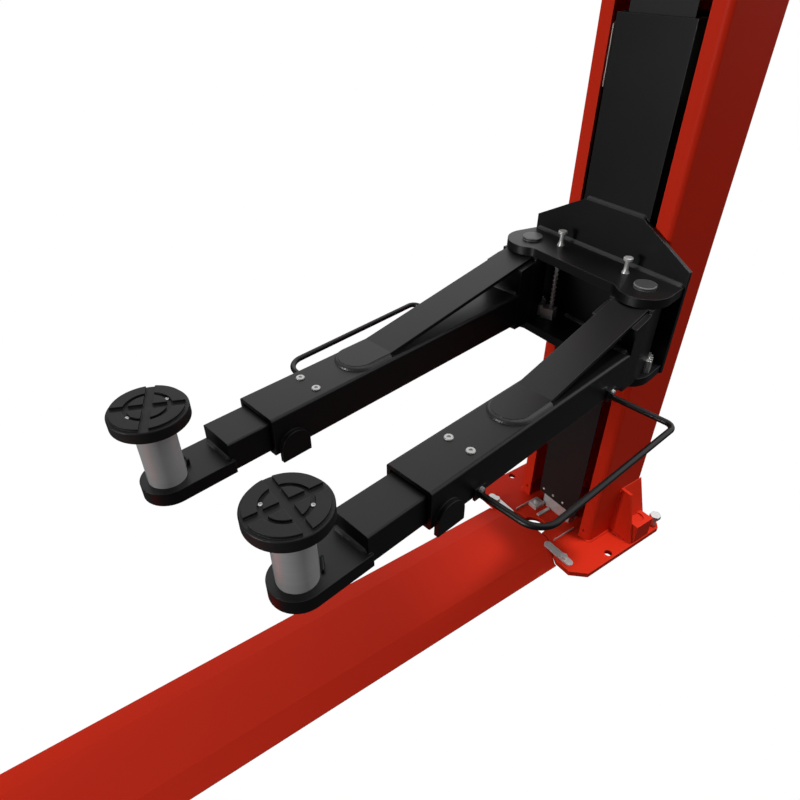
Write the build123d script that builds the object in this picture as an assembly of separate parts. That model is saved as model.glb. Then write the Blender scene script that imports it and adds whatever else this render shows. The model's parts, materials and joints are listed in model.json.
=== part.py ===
from build123d import *
import os
from math import asin, atan2, cos, degrees, hypot, pi, sin

# Two post lift with a flat floor beam between its posts. Millimetres. X runs from post to post,
# Y along the vehicle, Z up, with the origin on the floor midway between the posts.
# A post is drawn in its own frame: x = 0 is the column's front, x grows into the column,
# y = 0 is its middle. An arm is drawn with s outwards from its pivot and w to its guard's side.

clear_width = 2800.0            # between the fronts of the two columns

# Column and base plate
column_width = 280.0
column_depth = 180.0
column_wall = 6.0
column_bend = 12.0
column_mouth = 204.0
column_top = 2700.0
front_cut = 24.0                # depth of what cuts through the column's front wall alone
drain_hole = 8.0
drain_height = 30.0
cap_thickness = 8.0
cap_overhang = 6.0
plate_thickness = 16.0
plate_half_width = 218.0
plate_back = 230.0
plate_back_chamfer = 14.0
plate_side_front = -85.0
plate_lobe_front = -124.0
plate_lobe_outer = 182.0
plate_lobe_inner = 133.0
notch_x = -81.0
notch_half_width = 59.0
hose_hole = 70.0
hose_hole_x = -79.0
anchor_hole = 22.0
anchor_x = 18.0
anchor_y = 199.0

# Foot brackets and levelling gear
bracket_front = 93.0
bracket_back = 180.0
bracket_plate = 8.0
bracket_rise = 165.0
bracket_top_reach = 33.0
bracket_foot_y = 214.0
lean_per_rise = 0.33
block_front = 104.0
block_back = 170.0
block_inner = 156.0
block_outer = 216.0
block_height = 65.0
block_recess = 38.0
block_recess_depth = 4.0
level_bolt_x = 214.0
level_bolt_y = 200.0
level_bolt_shank = 16.0
level_bolt_head = 28.0
level_bolt_head_height = 12.0
level_bolt_stand = 40.0

# Floor beam and the bars that hold it to the base plates
beam_half_width = 140.0
beam_flat_half_width = 85.0
beam_edge = 2.0
beam_gap = 3.5
clamp_x = -103.0
clamp_inner = 69.0
clamp_outer = 172.0
clamp_width = 22.0
clamp_thickness = 6.0
clamp_bolt_y = 141.0
clamp_bolt_head = 18.0
clamp_bolt_height = 8.0

# Cover strip in the column's mouth
strip_half_width = 72.0
strip_front = 8.0
strip_thickness = 2.0
strip_bottom = 60.0
strip_foot_thickness = 3.0
strip_foot_half_width = 52.0
strip_foot_length = 40.0
strip_foot_lap = 30.0

# Carriage
face_front = -13.0
face_thickness = 8.0
face_half_width = 210.0
face_bottom = 645.0
face_shoulder = 882.0
face_top = 952.0
face_top_half_width = 80.0
slide_plate_half_width = 82.0
slide_plate_thickness = 8.0
web_inner = 78.0
web_thickness = 10.0
box_front = 26.0
box_back = 146.0
box_half_width = 100.0
box_wall = 10.0
box_bottom = 660.0
box_top = 1300.0
slide_gap = 0.4
slide_length = 110.0
slide_depth = 42.0
slide_inset = 20.0

# Hinge plates on the carriage
hinge_plate = 20.0
hinge_bottom = 645.0
hinge_top = 850.0
hinge_corner_y = 207.0
hinge_middle_front = -116.0
hinge_lobe = 58.0
hinge_fillet = 24.0
pivot_x = -76.0
pivot_y = 160.0
pivot_radius = 19.0
pivot_head = 23.0
pivot_head_height = 7.0
pivot_head_chamfer = 1.2
pivot_nut_height = 12.0
running_gap = 0.05
seat_gap = 0.3

# Arm restraint: toothed sector, pawl, spring and pull pin
lock_x = -53.0
lock_y = 92.0
lock_radius = 4.0
knob_disc = 10.0
knob_disc_height = 6.0
knob_disc_chamfer = 1.0
knob_neck = 5.0
knob_flare = 8.5
knob_flare_height = 14.0
knob_hollow = 1.2               # how far the flare bends in from a straight cone
knob_height = 34.0
foot_disc = 10.0
foot_disc_height = 18.0
lock_lift = 16.0
lock_lift_spare = 5.0
pawl_half_pitches = 1.3         # half the pawl's width, in tooth pitches
pawl_back = 12.0
pawl_height = 26.0
pawl_gap = 1.3
sector_root = 47.0
sector_tip = 53.0
sector_bore = 36.0
sector_height = 28.0
sector_teeth = 16
spring_radius = 6.4
spring_wire = 1.7

# Arms
swing_rest = 9.0                # towards -Y from straight across, both arms of a post
root_radius = 42.0
root_flare = 60.0
root_length = 100.0
tube_width = 100.0
tube_height = 80.0
tube_wall = 8.0
tube_bottom = 675.0
tube_corner = 6.0
strap_width = 76.0
strap_thickness = 8.0
strap_start = 45.0
lug_radius = 31.0
lug_plate = 9.0
lug_below = 14.0
lug_rise = 24.0                 # from the eye plate's flat edge to the middle of its round end
lug_from_end = 39.0
tube_gap = 2.0
inner_wall = 6.0
inner_corner = 4.0
nose_height = 26.0
nose_radius = 45.0
stub_radius = 31.5
stub_seat = 20.0
stub_ledge_hole = 20.0
stub_top = 826.0
stub_spigot = 15.0
stub_spigot_height = 10.0
pad_radius = 62.0
pad_body = 21.0
pad_edge = 2.5
tread_depth = 4.5
tread_outer = 57.0
tread_inner = 37.0
tread_disc = 30.0
tread_groove = 14.0
guard_rod = 6.0
guard_rise = 8.0                # of the rod's middle above the tube's underside
guard_reach_root = 191.0
guard_reach_end = 179.0
guard_bend_root = 18.0
guard_bend_end = 42.0
guard_tab = 26.0
guard_tab_thickness = 5.0

# What differs between the short front arm and the long rear arm, measured from the pivot. The ends of
# both tubes are given by how far they stop short of the pad's middle, and guard_end by how far the
# guard stops short of the outer tube's end.
arms = {
    "front": dict(pivot=-1, pad=888.0, outer_short=217.0, inner_short=97.0, inner_start=150.0,
                  bend=352.0, tongue=455.0, guard_start=155.0, guard_end=113.0, pad_turn=-9.0),
    "rear": dict(pivot=1, pad=969.0, outer_short=179.0, inner_short=96.0, inner_start=230.0,
                 bend=495.0, tongue=590.0, guard_start=202.0, guard_end=185.0, pad_turn=32.0),
}

half_span = clear_width / 2
hinge_gap_bottom = hinge_bottom + hinge_plate
hinge_gap_top = hinge_top - hinge_plate
root_bottom = hinge_gap_bottom + seat_gap
root_top = hinge_gap_top - seat_gap
tube_top = tube_bottom + tube_height
inner_bottom = tube_bottom + tube_wall + seat_gap
beam_height = plate_thickness
lock_reach = hypot(lock_x - pivot_x, pivot_y - lock_y)


def both_sides(solid):
    """A piece and its mirror image across the post's middle."""
    return [solid, mirror(solid, about=Plane.XZ)]


def polygon(points):
    """A flat face through the points that faces up, whichever way round they are listed."""
    face = Face(Wire.make_polygon([Vector(*point) for point in points], close=True))
    return face if face.normal_at().Z > 0 else -face


def side_profile(points, half_width):
    """A solid with the given outline in the x-z plane and a thickness across y."""
    face = Plane.XZ * polygon(points)
    return extrude(face, half_width, both=True)


def disc(radius, low, high, x=0.0, y=0.0):
    return Pos(x, y, low) * Cylinder(radius, high - low, align=(Align.CENTER, Align.CENTER, Align.MIN))


def cone(radius_low, radius_high, low, high):
    centred = (Align.CENTER, Align.CENTER, Align.MIN)
    return Pos(0, 0, low) * Cone(radius_low, radius_high, high - low, align=centred)


def block(x0, x1, y0, y1, z0, z1):
    return Pos((x0 + x1) / 2, (y0 + y1) / 2, (z0 + z1) / 2) * Box(x1 - x0, y1 - y0, z1 - z0)


def hexagon(across, low, high, x=0.0, y=0.0):
    face = RegularPolygon(across / 2, 6, major_radius=False)
    return Pos(x, y, low) * extrude(face, high - low)


def column():
    middle = Pos(column_depth / 2, 0)
    outer = middle * RectangleRounded(column_depth, column_width, column_bend)
    hollow = middle * RectangleRounded(
        column_depth - 2 * column_wall, column_width - 2 * column_wall, column_bend - column_wall)
    mouth = Rectangle(front_cut, column_mouth)
    shell = Pos(0, 0, plate_thickness) * extrude(outer - hollow - mouth, column_top - plate_thickness)
    lip_middle = (column_width / 2 - column_bend + column_mouth / 2) / 2
    drain = Cylinder(drain_hole / 2, front_cut, rotation=(0, 90, 0))
    for side in (-1, 1):
        shell -= Pos(0, side * lip_middle, plate_thickness + drain_height) * drain
    return shell


def column_cap():
    return block(-cap_overhang, column_depth + cap_overhang, -column_width / 2 - cap_overhang,
                 column_width / 2 + cap_overhang, column_top, column_top + cap_thickness)


def base_plate():
    half = [
        (plate_back, 0), (plate_back, plate_half_width - plate_back_chamfer),
        (plate_back - plate_back_chamfer, plate_half_width), (plate_side_front, plate_half_width),
        (plate_lobe_front, plate_lobe_outer), (plate_lobe_front, plate_lobe_inner),
        (notch_x, notch_half_width), (notch_x, 0),
    ]
    outline = half + [(x, -y) for x, y in reversed(half[1:-1])]
    plate = extrude(polygon(outline), plate_thickness)
    plate -= disc(hose_hole / 2, 0, plate_thickness, hose_hole_x)
    plate -= block(2 * notch_x, hose_hole_x, -hose_hole / 2, hose_hole / 2, 0, plate_thickness)
    for side in (-1, 1):
        plate -= disc(anchor_hole / 2, 0, plate_thickness, anchor_x, side * anchor_y)
        plate -= disc(level_bolt_shank / 2 + running_gap, 0, plate_thickness, level_bolt_x,
                      side * level_bolt_y)
    return plate


def foot_bracket():
    """A gusset plate across the column's side and a leaning plate behind it."""
    low, high = plate_thickness, plate_thickness + bracket_rise
    wall = column_width / 2
    gusset_points = [(wall, low), (bracket_foot_y, low), (wall + bracket_top_reach, high), (wall, high)]
    gusset = extrude(Plane.YZ.offset(bracket_front) * polygon(gusset_points), bracket_plate)
    lean = lean_per_rise * bracket_rise
    lean_points = [(wall, high), (wall, high - bracket_plate / lean_per_rise),
                   (wall + lean - bracket_plate, low), (wall + lean, low)]
    leaning = extrude(Plane.YZ.offset(bracket_front) * polygon(lean_points), bracket_back - bracket_front)
    return gusset + leaning


def levelling_block(bracket):
    low, high = plate_thickness, plate_thickness + block_height
    body = block(block_front, block_back, block_inner, block_outer, low, high)
    recess = disc(block_recess / 2, high - block_recess_depth, high, (block_front + block_back) / 2,
                  (block_inner + block_outer) / 2)
    rest = body - recess - bracket
    return max(rest.solids(), key=lambda solid: solid.volume)


def levelling_bolt():
    top = plate_thickness + level_bolt_stand
    shank = disc(level_bolt_shank / 2, 0, top - level_bolt_head_height)
    return Pos(level_bolt_x, level_bolt_y) * (
        shank + hexagon(level_bolt_head, top - level_bolt_head_height, top))


def clamp_bar():
    low, high = plate_thickness, plate_thickness + clamp_thickness
    slot = SlotOverall(clamp_outer - clamp_inner, clamp_width, rotation=90)
    bar = Pos(clamp_x, (clamp_inner + clamp_outer) / 2, low) * extrude(slot, clamp_thickness)
    return bar + hexagon(clamp_bolt_head, high, high + clamp_bolt_height, clamp_x, clamp_bolt_y)


def floor_beam():
    """A low ramp section; its pointed ends sit in the notches of the base plates."""
    section = [(-beam_half_width, 0), (beam_half_width, 0), (beam_half_width, beam_edge),
               (beam_flat_half_width, beam_height), (-beam_flat_half_width, beam_height),
               (-beam_half_width, beam_edge)]
    bar = extrude(Plane.YZ * polygon(section), half_span, both=True)
    end = half_span + notch_x - beam_gap
    shoulder = half_span + plate_lobe_front - beam_gap
    outline = [(end, notch_half_width), (shoulder, plate_lobe_inner), (shoulder, beam_half_width)]
    outline += [(-x, y) for x, y in reversed(outline)]
    outline += [(-x, -y) for x, y in outline]
    return bar & extrude(polygon(outline), beam_height)


def cover_strip():
    return block(strip_front, strip_front + strip_thickness, -strip_half_width, strip_half_width,
                 strip_bottom, column_top)


def strip_foot():
    """An angle on the base plate that carries the strip's bottom edge."""
    back = strip_front + strip_thickness
    upright = block(back, back + strip_foot_thickness, -strip_foot_half_width, strip_foot_half_width,
                    plate_thickness, strip_bottom + strip_foot_lap)
    foot = block(back, back + strip_foot_length, -strip_foot_half_width, strip_foot_half_width,
                 plate_thickness, plate_thickness + strip_foot_thickness)
    return upright + foot


def carriage():
    """The face plate, the webs through the column's mouth and the box inside the column."""
    half = [(face_half_width, face_bottom), (face_half_width, face_shoulder),
            (face_top_half_width, face_top)]
    outline = half + [(-y, z) for y, z in reversed(half)]
    body = extrude(Plane.YZ.offset(face_front) * polygon(outline), face_thickness)
    face_back = face_front + face_thickness
    body += block(face_back, face_back + slide_plate_thickness, -slide_plate_half_width,
                  slide_plate_half_width, box_bottom, box_top)
    box = block(box_front, box_back, -box_half_width, box_half_width, box_bottom, box_top)
    box -= block(box_front + box_wall, box_back - box_wall, -box_half_width + box_wall,
                 box_half_width - box_wall, box_bottom, box_top)
    body += box
    web = block(face_back, box_front, web_inner, web_inner + web_thickness, box_bottom, box_top)
    for piece in both_sides(web):
        body += piece
    return body


def slide_blocks():
    """Eight plastic blocks that guide the carriage in the column's corners."""
    front = column_wall + slide_gap
    back = column_depth - front
    side = column_width / 2 - front
    corner = column_bend - column_wall
    blocks = []
    for outer, way in ((front, 1), (back, -1)):
        inner = outer + way * slide_depth
        plan = polygon([(inner, box_half_width), (inner, side), (outer + way * corner, side),
                        (outer, side - corner), (outer, box_half_width)])
        for low in (box_bottom + slide_inset, box_top - slide_inset - slide_length):
            blocks += both_sides(Pos(0, 0, low) * extrude(plan, slide_length))
    return blocks


def hinge_plate_solid(low):
    """Two round lobes for the pivots, joined by a narrower middle."""
    reach = face_front - pivot_x
    away = hypot(reach, hinge_corner_y - pivot_y)
    turn = atan2(hinge_corner_y - pivot_y, reach) - asin(hinge_lobe / away)
    run = (away ** 2 - hinge_lobe ** 2) ** 0.5
    touch = (face_front - run * cos(turn), hinge_corner_y - run * sin(turn))
    ear = extrude(polygon([(face_front, pivot_y), (face_front, hinge_corner_y), touch,
                           (pivot_x, pivot_y)]), hinge_plate)
    lobe = disc(hinge_lobe, 0, hinge_plate, pivot_x, pivot_y)
    plate = block(hinge_middle_front, face_front, -pivot_y, pivot_y, 0, hinge_plate)
    for piece in both_sides(lobe) + both_sides(ear):
        plate += piece
    blend_x = hinge_middle_front - hinge_fillet
    spread = hinge_lobe + hinge_fillet
    blend_y = pivot_y - (spread ** 2 - (pivot_x - blend_x) ** 2) ** 0.5
    meet = (pivot_x + (blend_x - pivot_x) * hinge_lobe / spread,
            pivot_y + (blend_y - pivot_y) * hinge_lobe / spread)
    corner = extrude(polygon([(hinge_middle_front, blend_y), (blend_x, blend_y), meet,
                              (pivot_x, pivot_y)]), hinge_plate)
    corner -= disc(hinge_fillet, 0, hinge_plate, blend_x, blend_y)
    for piece in both_sides(corner):
        plate += piece
    plate -= block(face_front, face_front + hinge_lobe, -hinge_corner_y - hinge_lobe,
                   hinge_corner_y + hinge_lobe, 0, hinge_plate)
    for side in (-1, 1):
        plate -= disc(pivot_radius + running_gap, 0, hinge_plate, pivot_x, side * pivot_y)
        plate -= disc(lock_radius + running_gap, 0, hinge_plate, lock_x, side * lock_y)
    return Pos(0, 0, low) * plate


def pivot_pin():
    head = disc(pivot_head, hinge_top, hinge_top + pivot_head_height)
    pin = disc(pivot_radius, hinge_bottom - pivot_nut_height, hinge_top)
    pin += chamfer(head.edges().group_by(Axis.Z)[-1], pivot_head_chamfer)
    pin += hexagon(2 * pivot_head, hinge_bottom - pivot_nut_height, hinge_bottom)
    return Pos(pivot_x, pivot_y) * pin


def knob(low, top):
    """A pull knob like a spool: a hollow flare, a neck and a bevelled disc."""
    middle, flare_top = low + knob_flare_height / 2, low + knob_flare_height
    waist = (knob_flare + knob_neck) / 2 - knob_hollow
    spool = cone(knob_flare, waist, low, middle) + cone(waist, knob_neck, middle, flare_top)
    spool += disc(knob_neck, flare_top, top - knob_disc_height)
    cap = disc(knob_disc, top - knob_disc_height, top)
    return spool + chamfer(cap.edges().group_by(Axis.Z)[-1], knob_disc_chamfer)


def lock_pin():
    """The pull pin with its knob, the pawl between the hinge plates and the foot below them."""
    top = hinge_top + knob_height
    foot_high = hinge_bottom - lock_lift - lock_lift_spare
    pin = disc(lock_radius, foot_high, hinge_top + seat_gap) + knob(hinge_top + seat_gap, top)
    pin += disc(foot_disc, foot_high - foot_disc_height, foot_high)
    nose = lock_reach - sector_tip - pawl_gap
    pitch = 2 * pi * sector_tip / (2 * sector_teeth)
    depth = sector_tip - sector_root
    half = pawl_half_pitches * pitch
    points = [(-pawl_back, -half), (nose, -half)]
    for at in (-pitch, 0.0, pitch):
        points += [(nose, at - pitch / 4), (nose - depth, at - pitch / 8),
                   (nose - depth, at + pitch / 8), (nose, at + pitch / 4)]
    points += [(nose, half), (-pawl_back, half)]
    pawl = Pos(0, 0, root_bottom) * extrude(polygon(points), pawl_height)
    aim = degrees(atan2(pivot_y - lock_y, pivot_x - lock_x))
    return Pos(lock_x, lock_y) * (pin + Rot(0, 0, aim) * pawl)


def lock_spring():
    low, high = root_bottom + pawl_height, hinge_gap_top
    sleeve = disc(spring_radius, low, high) - disc(spring_radius - spring_wire, low, high)
    return Pos(lock_x, lock_y) * sleeve


def arm_root(arm):
    """The bracket that turns on the pivot pin, with the strap that braces the tube."""
    flare = Pos((root_flare + root_length) / 2, 0) * Rectangle(root_length - root_flare, tube_width)
    plan = make_hull((Circle(root_radius) + flare).edges())
    body = Pos(0, 0, root_bottom) * extrude(plan, root_top - root_bottom)
    flat = tube_top + strap_thickness
    fall = (root_top - flat) / (arm["bend"] - strap_start)
    under = strap_thickness * (1 + fall ** 2) ** 0.5

    def strap_z(s):
        return root_top - fall * (s - strap_start)

    shaved = [(strap_start, root_top - under), (strap_start, root_top + under),
              (2 * root_length, root_top + under), (2 * root_length, strap_z(2 * root_length) - under)]
    body -= side_profile(shaved, tube_width)
    strap = side_profile(
        [(strap_start, root_top), (arm["bend"], flat), (arm["bend"], tube_top),
         (arm["bend"] - under / 2, tube_top), (strap_start, root_top - under)], strap_width / 2)
    tongue_end = arm["tongue"] - strap_width / 2
    tongue = block(arm["bend"], tongue_end, -strap_width / 2, strap_width / 2, tube_top, flat)
    tongue += disc(strap_width / 2, tube_top, flat, tongue_end)
    body += strap + tongue
    body -= disc(pivot_radius + running_gap, root_bottom, root_top)
    ring_space = disc(2 * root_radius, root_bottom, root_bottom + sector_height)
    ring_space -= disc(sector_bore, root_bottom, root_bottom + sector_height)
    ring_space -= block(0, 2 * root_radius, -2 * root_radius, 2 * root_radius, root_bottom, root_top)
    return body - ring_space


def gear_sector():
    """A half ring of teeth round the back of the arm's root."""
    step = pi / sector_teeth
    flanks = ((sector_root, 0.15), (sector_tip, 0.35), (sector_tip, 0.65), (sector_root, 0.85))
    points = [(0, sector_root)]
    for tooth in range(sector_teeth):
        start = pi / 2 + tooth * step
        for radius, share in flanks:
            angle = start + share * step
            points.append((radius * cos(angle), radius * sin(angle)))
    points += [(0, -sector_root)]
    ring = Pos(0, 0, root_bottom) * extrude(polygon(points), sector_height)
    return ring - disc(sector_bore, root_bottom, root_bottom + sector_height)


def rounded_tube(start, end, width, low, height, wall, corner):
    middle = Plane.YZ.offset(start) * Pos(0, low + height / 2)
    outer = RectangleRounded(width, height, corner)
    hollow = Rectangle(width - 2 * wall, height - 2 * wall)
    return extrude(middle * (outer - hollow), end - start)


def outer_end(arm):
    return arm["pad"] - arm["outer_short"]


def outer_tube(arm):
    tube = rounded_tube(root_length, outer_end(arm), tube_width, tube_bottom, tube_height, tube_wall,
                        tube_corner)
    centre = outer_end(arm) - lug_from_end
    low = tube_bottom - lug_below
    eye = low + lug_rise
    face = tube_width / 2
    plate = block(centre - lug_radius, centre + lug_radius, face, face + lug_plate, low, eye)
    round_end = Pos(centre, face + lug_plate / 2, eye) * Cylinder(lug_radius, lug_plate, rotation=(90, 0, 0))
    below = block(centre - lug_radius, centre + lug_radius, face, face + lug_plate, low - lug_radius, low)
    for piece in both_sides(plate + (round_end - below)):
        tube += piece
    return tube


def foot_guard(arm):
    """A bent rod on two tabs, standing out from the tube's side."""
    face = tube_width / 2
    inside = face + guard_tab_thickness / 2
    height = tube_bottom + guard_rise
    start, end = arm["guard_start"], outer_end(arm) - arm["guard_end"]
    path = FilletPolyline((start, inside, height), (start, guard_reach_root, height),
                          (end, guard_reach_end, height), (end, inside, height),
                          radius=(guard_bend_root, guard_bend_end))
    rod = sweep(Plane(origin=path @ 0, z_dir=path % 0) * Circle(guard_rod), path=path)
    for s in (start, end):
        rod += block(s - guard_tab / 2, s + guard_tab / 2, face, face + guard_tab_thickness,
                     tube_bottom, tube_bottom + guard_tab)
    return rod


def inner_arm(arm):
    width = tube_width - 2 * (tube_wall + tube_gap)
    height = tube_height - 2 * (tube_wall + tube_gap)
    low = inner_bottom
    end = arm["pad"] - arm["inner_short"]
    body = rounded_tube(arm["inner_start"], end, width, low, height, inner_wall, inner_corner)
    body += block(end - inner_wall, end, inner_wall - width / 2,
                  width / 2 - inner_wall, low + inner_wall, low + height - inner_wall)
    body += block(end - inner_wall, arm["pad"], -nose_radius, nose_radius, low, low + nose_height)
    body += disc(nose_radius, low, low + nose_height, arm["pad"])
    body -= disc(stub_radius + running_gap, low + nose_height - stub_seat, low + nose_height, arm["pad"])
    body -= disc(stub_ledge_hole, low, low + nose_height, arm["pad"])
    return body


def stub():
    seat = inner_bottom + nose_height - stub_seat + seat_gap
    return disc(stub_radius, seat, stub_top) + disc(stub_spigot, stub_top, stub_top + stub_spigot_height)


def pad():
    """A round rubber pad whose tread is a ring and a disc, cut into four by crossed grooves."""
    low = stub_top + seat_gap
    floor = low + pad_body
    top = floor + tread_depth
    body = disc(pad_radius, low, floor)
    body = fillet(body.edges().filter_by(GeomType.CIRCLE), pad_edge)
    body -= disc(stub_spigot + running_gap, low, low + stub_spigot_height)
    tread = disc(tread_outer, floor, top) - disc(tread_inner, floor, top) + disc(tread_disc, floor, top)
    tread -= block(-tread_outer, tread_outer, -tread_groove / 2, tread_groove / 2, floor, top)
    tread -= block(-tread_groove / 2, tread_groove / 2, -tread_outer, tread_outer, floor, top)
    return body + tread


def place_arm(solid, arm):
    """From the arm's own frame to its pivot on the right post."""
    turned = solid if arm["pivot"] < 0 else mirror(solid, about=Plane.XZ)
    return Pos(half_span + pivot_x, arm["pivot"] * pivot_y) * Rot(0, 0, 180 + swing_rest) * turned


def at_post(solid):
    return Pos(half_span, 0) * solid


def write(name, solids):
    export_step(Compound(children=list(solids)), f"parts/{name}.step")


def main():
    os.makedirs("parts", exist_ok=True)
    bracket = foot_bracket()
    shared = {
        "base_plates": [base_plate()],
        "column_caps": [column_cap()],
        "cover_strip_feet": [strip_foot()],
        "foot_brackets": both_sides(bracket),
        "levelling_blocks": both_sides(levelling_block(bracket)),
        "levelling_bolts": both_sides(levelling_bolt()),
        "clamp_bars": both_sides(clamp_bar()),
    }
    for name, solids in shared.items():
        right = [at_post(solid) for solid in solids]
        write(name, right + [mirror(solid, about=Plane.YZ) for solid in right])
    write("floor_beam", [floor_beam()])

    post = {
        "column": [column()],
        "cover_strip": [cover_strip()],
        "carriage": [carriage()],
        "slide_blocks": slide_blocks(),
        "hinge_plates": [hinge_plate_solid(hinge_bottom), hinge_plate_solid(hinge_top - hinge_plate)],
        "pivot_pins": both_sides(pivot_pin()),
    }
    pieces = {name: [at_post(solid) for solid in solids] for name, solids in post.items()}
    for label, arm in arms.items():
        side = arm["pivot"]
        lock = lock_pin() if side > 0 else mirror(lock_pin(), about=Plane.XZ)
        spring = lock_spring() if side > 0 else mirror(lock_spring(), about=Plane.XZ)
        pieces[f"{label}_lock_pin"] = [at_post(lock)]
        pieces[f"{label}_lock_spring"] = [at_post(spring)]
        at_pad = Pos(arm["pad"], 0)
        own = {
            "arm_root": arm_root(arm),
            "gear_sector": gear_sector(),
            "outer_tube": outer_tube(arm),
            "foot_guard": foot_guard(arm),
            "inner_arm": inner_arm(arm),
            "pad_stub": at_pad * stub(),
            "pad": at_pad * (Rot(0, 0, arm["pad_turn"]) * pad()),
        }
        for name, solid in own.items():
            pieces[f"{label}_{name}"] = [place_arm(solid, arm)]
    for name, solids in pieces.items():
        write(f"right_{name}", solids)
        write(f"left_{name}", [mirror(solid, about=Plane.YZ) for solid in solids])


main()
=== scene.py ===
import bpy
import bmesh
import json
import math
from mathutils import Matrix, Vector


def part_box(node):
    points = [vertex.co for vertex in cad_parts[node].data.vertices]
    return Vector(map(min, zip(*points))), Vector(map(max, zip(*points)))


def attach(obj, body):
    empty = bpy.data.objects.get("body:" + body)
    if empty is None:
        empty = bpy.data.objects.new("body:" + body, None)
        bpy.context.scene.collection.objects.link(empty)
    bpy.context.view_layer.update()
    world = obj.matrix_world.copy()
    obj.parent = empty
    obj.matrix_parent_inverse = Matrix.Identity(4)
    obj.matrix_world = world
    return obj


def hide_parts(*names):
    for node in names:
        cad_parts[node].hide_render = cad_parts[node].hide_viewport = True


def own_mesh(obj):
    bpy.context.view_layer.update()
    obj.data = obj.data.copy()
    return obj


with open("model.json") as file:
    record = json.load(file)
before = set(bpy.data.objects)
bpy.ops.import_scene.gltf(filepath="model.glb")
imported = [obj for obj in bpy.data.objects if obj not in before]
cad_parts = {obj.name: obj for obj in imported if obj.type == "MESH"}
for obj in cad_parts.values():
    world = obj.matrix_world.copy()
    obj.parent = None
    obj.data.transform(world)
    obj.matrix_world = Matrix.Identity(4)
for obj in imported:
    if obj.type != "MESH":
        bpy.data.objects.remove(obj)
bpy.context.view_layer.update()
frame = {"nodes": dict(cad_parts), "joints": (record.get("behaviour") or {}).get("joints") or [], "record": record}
nodes = frame["nodes"]
joints = {joint["name"]: joint for joint in frame["joints"]}
print("frame loaded:", len(nodes), "nodes")

posts = ("right", "left")
armNames = ("front", "rear")
upward = Vector((0, 0, 1))


# Shader helpers. A socket is (node, name) or (node, index). A colour Mix has A at 6, B at 7, its result at 2.

def addNode(tree, kind, values=None, **settings):
    node = tree.nodes.new(kind)
    for name, value in settings.items():
        setattr(node, name, value)
    for name, value in (values or {}).items():
        node.inputs[name].default_value = value
    return node


def wire(tree, source, target):
    tree.links.new(source[0].outputs[source[1]], target[0].inputs[target[1]])


def newGroup(name, inputs, outputs):
    group = bpy.data.node_groups.new(name, "ShaderNodeTree")
    for label, kind, value in inputs:
        socket = group.interface.new_socket(label, in_out="INPUT", socket_type=kind)
        socket.default_value = value
    for label, kind in outputs:
        group.interface.new_socket(label, in_out="OUTPUT", socket_type=kind)
    return group, addNode(group, "NodeGroupInput"), addNode(group, "NodeGroupOutput")


def useGroup(tree, group, values=None):
    node = addNode(tree, "ShaderNodeGroup", node_tree=group)
    for name, value in (values or {}).items():
        node.inputs[name].default_value = value
    return node


# Orange peel and slow tone changes of a sprayed or moulded skin
def skinGroup():
    group, start, end = newGroup("sprayedSkin", [
        ("Grain Scale", "NodeSocketFloat", 420.0), ("Tone Scale", "NodeSocketFloat", 5.0),
        ("Tone Spread", "NodeSocketFloat", 0.1), ("Base", "NodeSocketColor", (0.5, 0.5, 0.5, 1)),
        ("Rough", "NodeSocketFloat", 0.4), ("Rough Spread", "NodeSocketFloat", 0.08),
    ], [("Color", "NodeSocketColor"), ("Roughness", "NodeSocketFloat"), ("Height", "NodeSocketFloat")])
    place = addNode(group, "ShaderNodeTexCoord")
    grain = addNode(group, "ShaderNodeTexNoise", {"Detail": 2.0, "Roughness": 0.55})
    tone = addNode(group, "ShaderNodeTexNoise", {"Detail": 4.0, "Roughness": 0.6})
    for noise, scale in ((grain, "Grain Scale"), (tone, "Tone Scale")):
        wire(group, (place, "Object"), (noise, "Vector"))
        wire(group, (start, scale), (noise, "Scale"))
    centred = addNode(group, "ShaderNodeMath", {1: 0.5}, operation="SUBTRACT")
    wire(group, (tone, "Fac"), (centred, 0))
    toneAmount = addNode(group, "ShaderNodeMath", {2: 1.0}, operation="MULTIPLY_ADD")
    wire(group, (centred, 0), (toneAmount, 0))
    wire(group, (start, "Tone Spread"), (toneAmount, 1))
    shade = addNode(group, "ShaderNodeHueSaturation")
    wire(group, (toneAmount, 0), (shade, "Value"))
    wire(group, (start, "Base"), (shade, "Color"))
    wire(group, (shade, "Color"), (end, "Color"))
    roughAmount = addNode(group, "ShaderNodeMath", operation="MULTIPLY_ADD")
    wire(group, (centred, 0), (roughAmount, 0))
    wire(group, (start, "Rough Spread"), (roughAmount, 1))
    wire(group, (start, "Rough"), (roughAmount, 2))
    wire(group, (roughAmount, 0), (end, "Roughness"))
    wire(group, (grain, "Fac"), (end, "Height"))
    return group


# A small rounding at every sharp edge, and a mask of those edges
def edgeGroup():
    group, start, end = newGroup("roundedEdges", [
        ("Radius", "NodeSocketFloat", 0.0015), ("Edge Gain", "NodeSocketFloat", 6.0),
    ], [("Normal", "NodeSocketVector"), ("Edge", "NodeSocketFloat")])
    rounded = addNode(group, "ShaderNodeBevel", samples=6)
    wire(group, (start, "Radius"), (rounded, "Radius"))
    surface = addNode(group, "ShaderNodeNewGeometry")
    likeness = addNode(group, "ShaderNodeVectorMath", operation="DOT_PRODUCT")
    wire(group, (rounded, "Normal"), (likeness, 0))
    wire(group, (surface, "Normal"), (likeness, 1))
    apart = addNode(group, "ShaderNodeMath", {0: 1.0}, operation="SUBTRACT")
    wire(group, (likeness, "Value"), (apart, 1))
    gain = addNode(group, "ShaderNodeMath", operation="MULTIPLY", use_clamp=True)
    wire(group, (apart, 0), (gain, 0))
    wire(group, (start, "Edge Gain"), (gain, 1))
    wire(group, (rounded, "Normal"), (end, "Normal"))
    wire(group, (gain, 0), (end, "Edge"))
    return group


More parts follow.
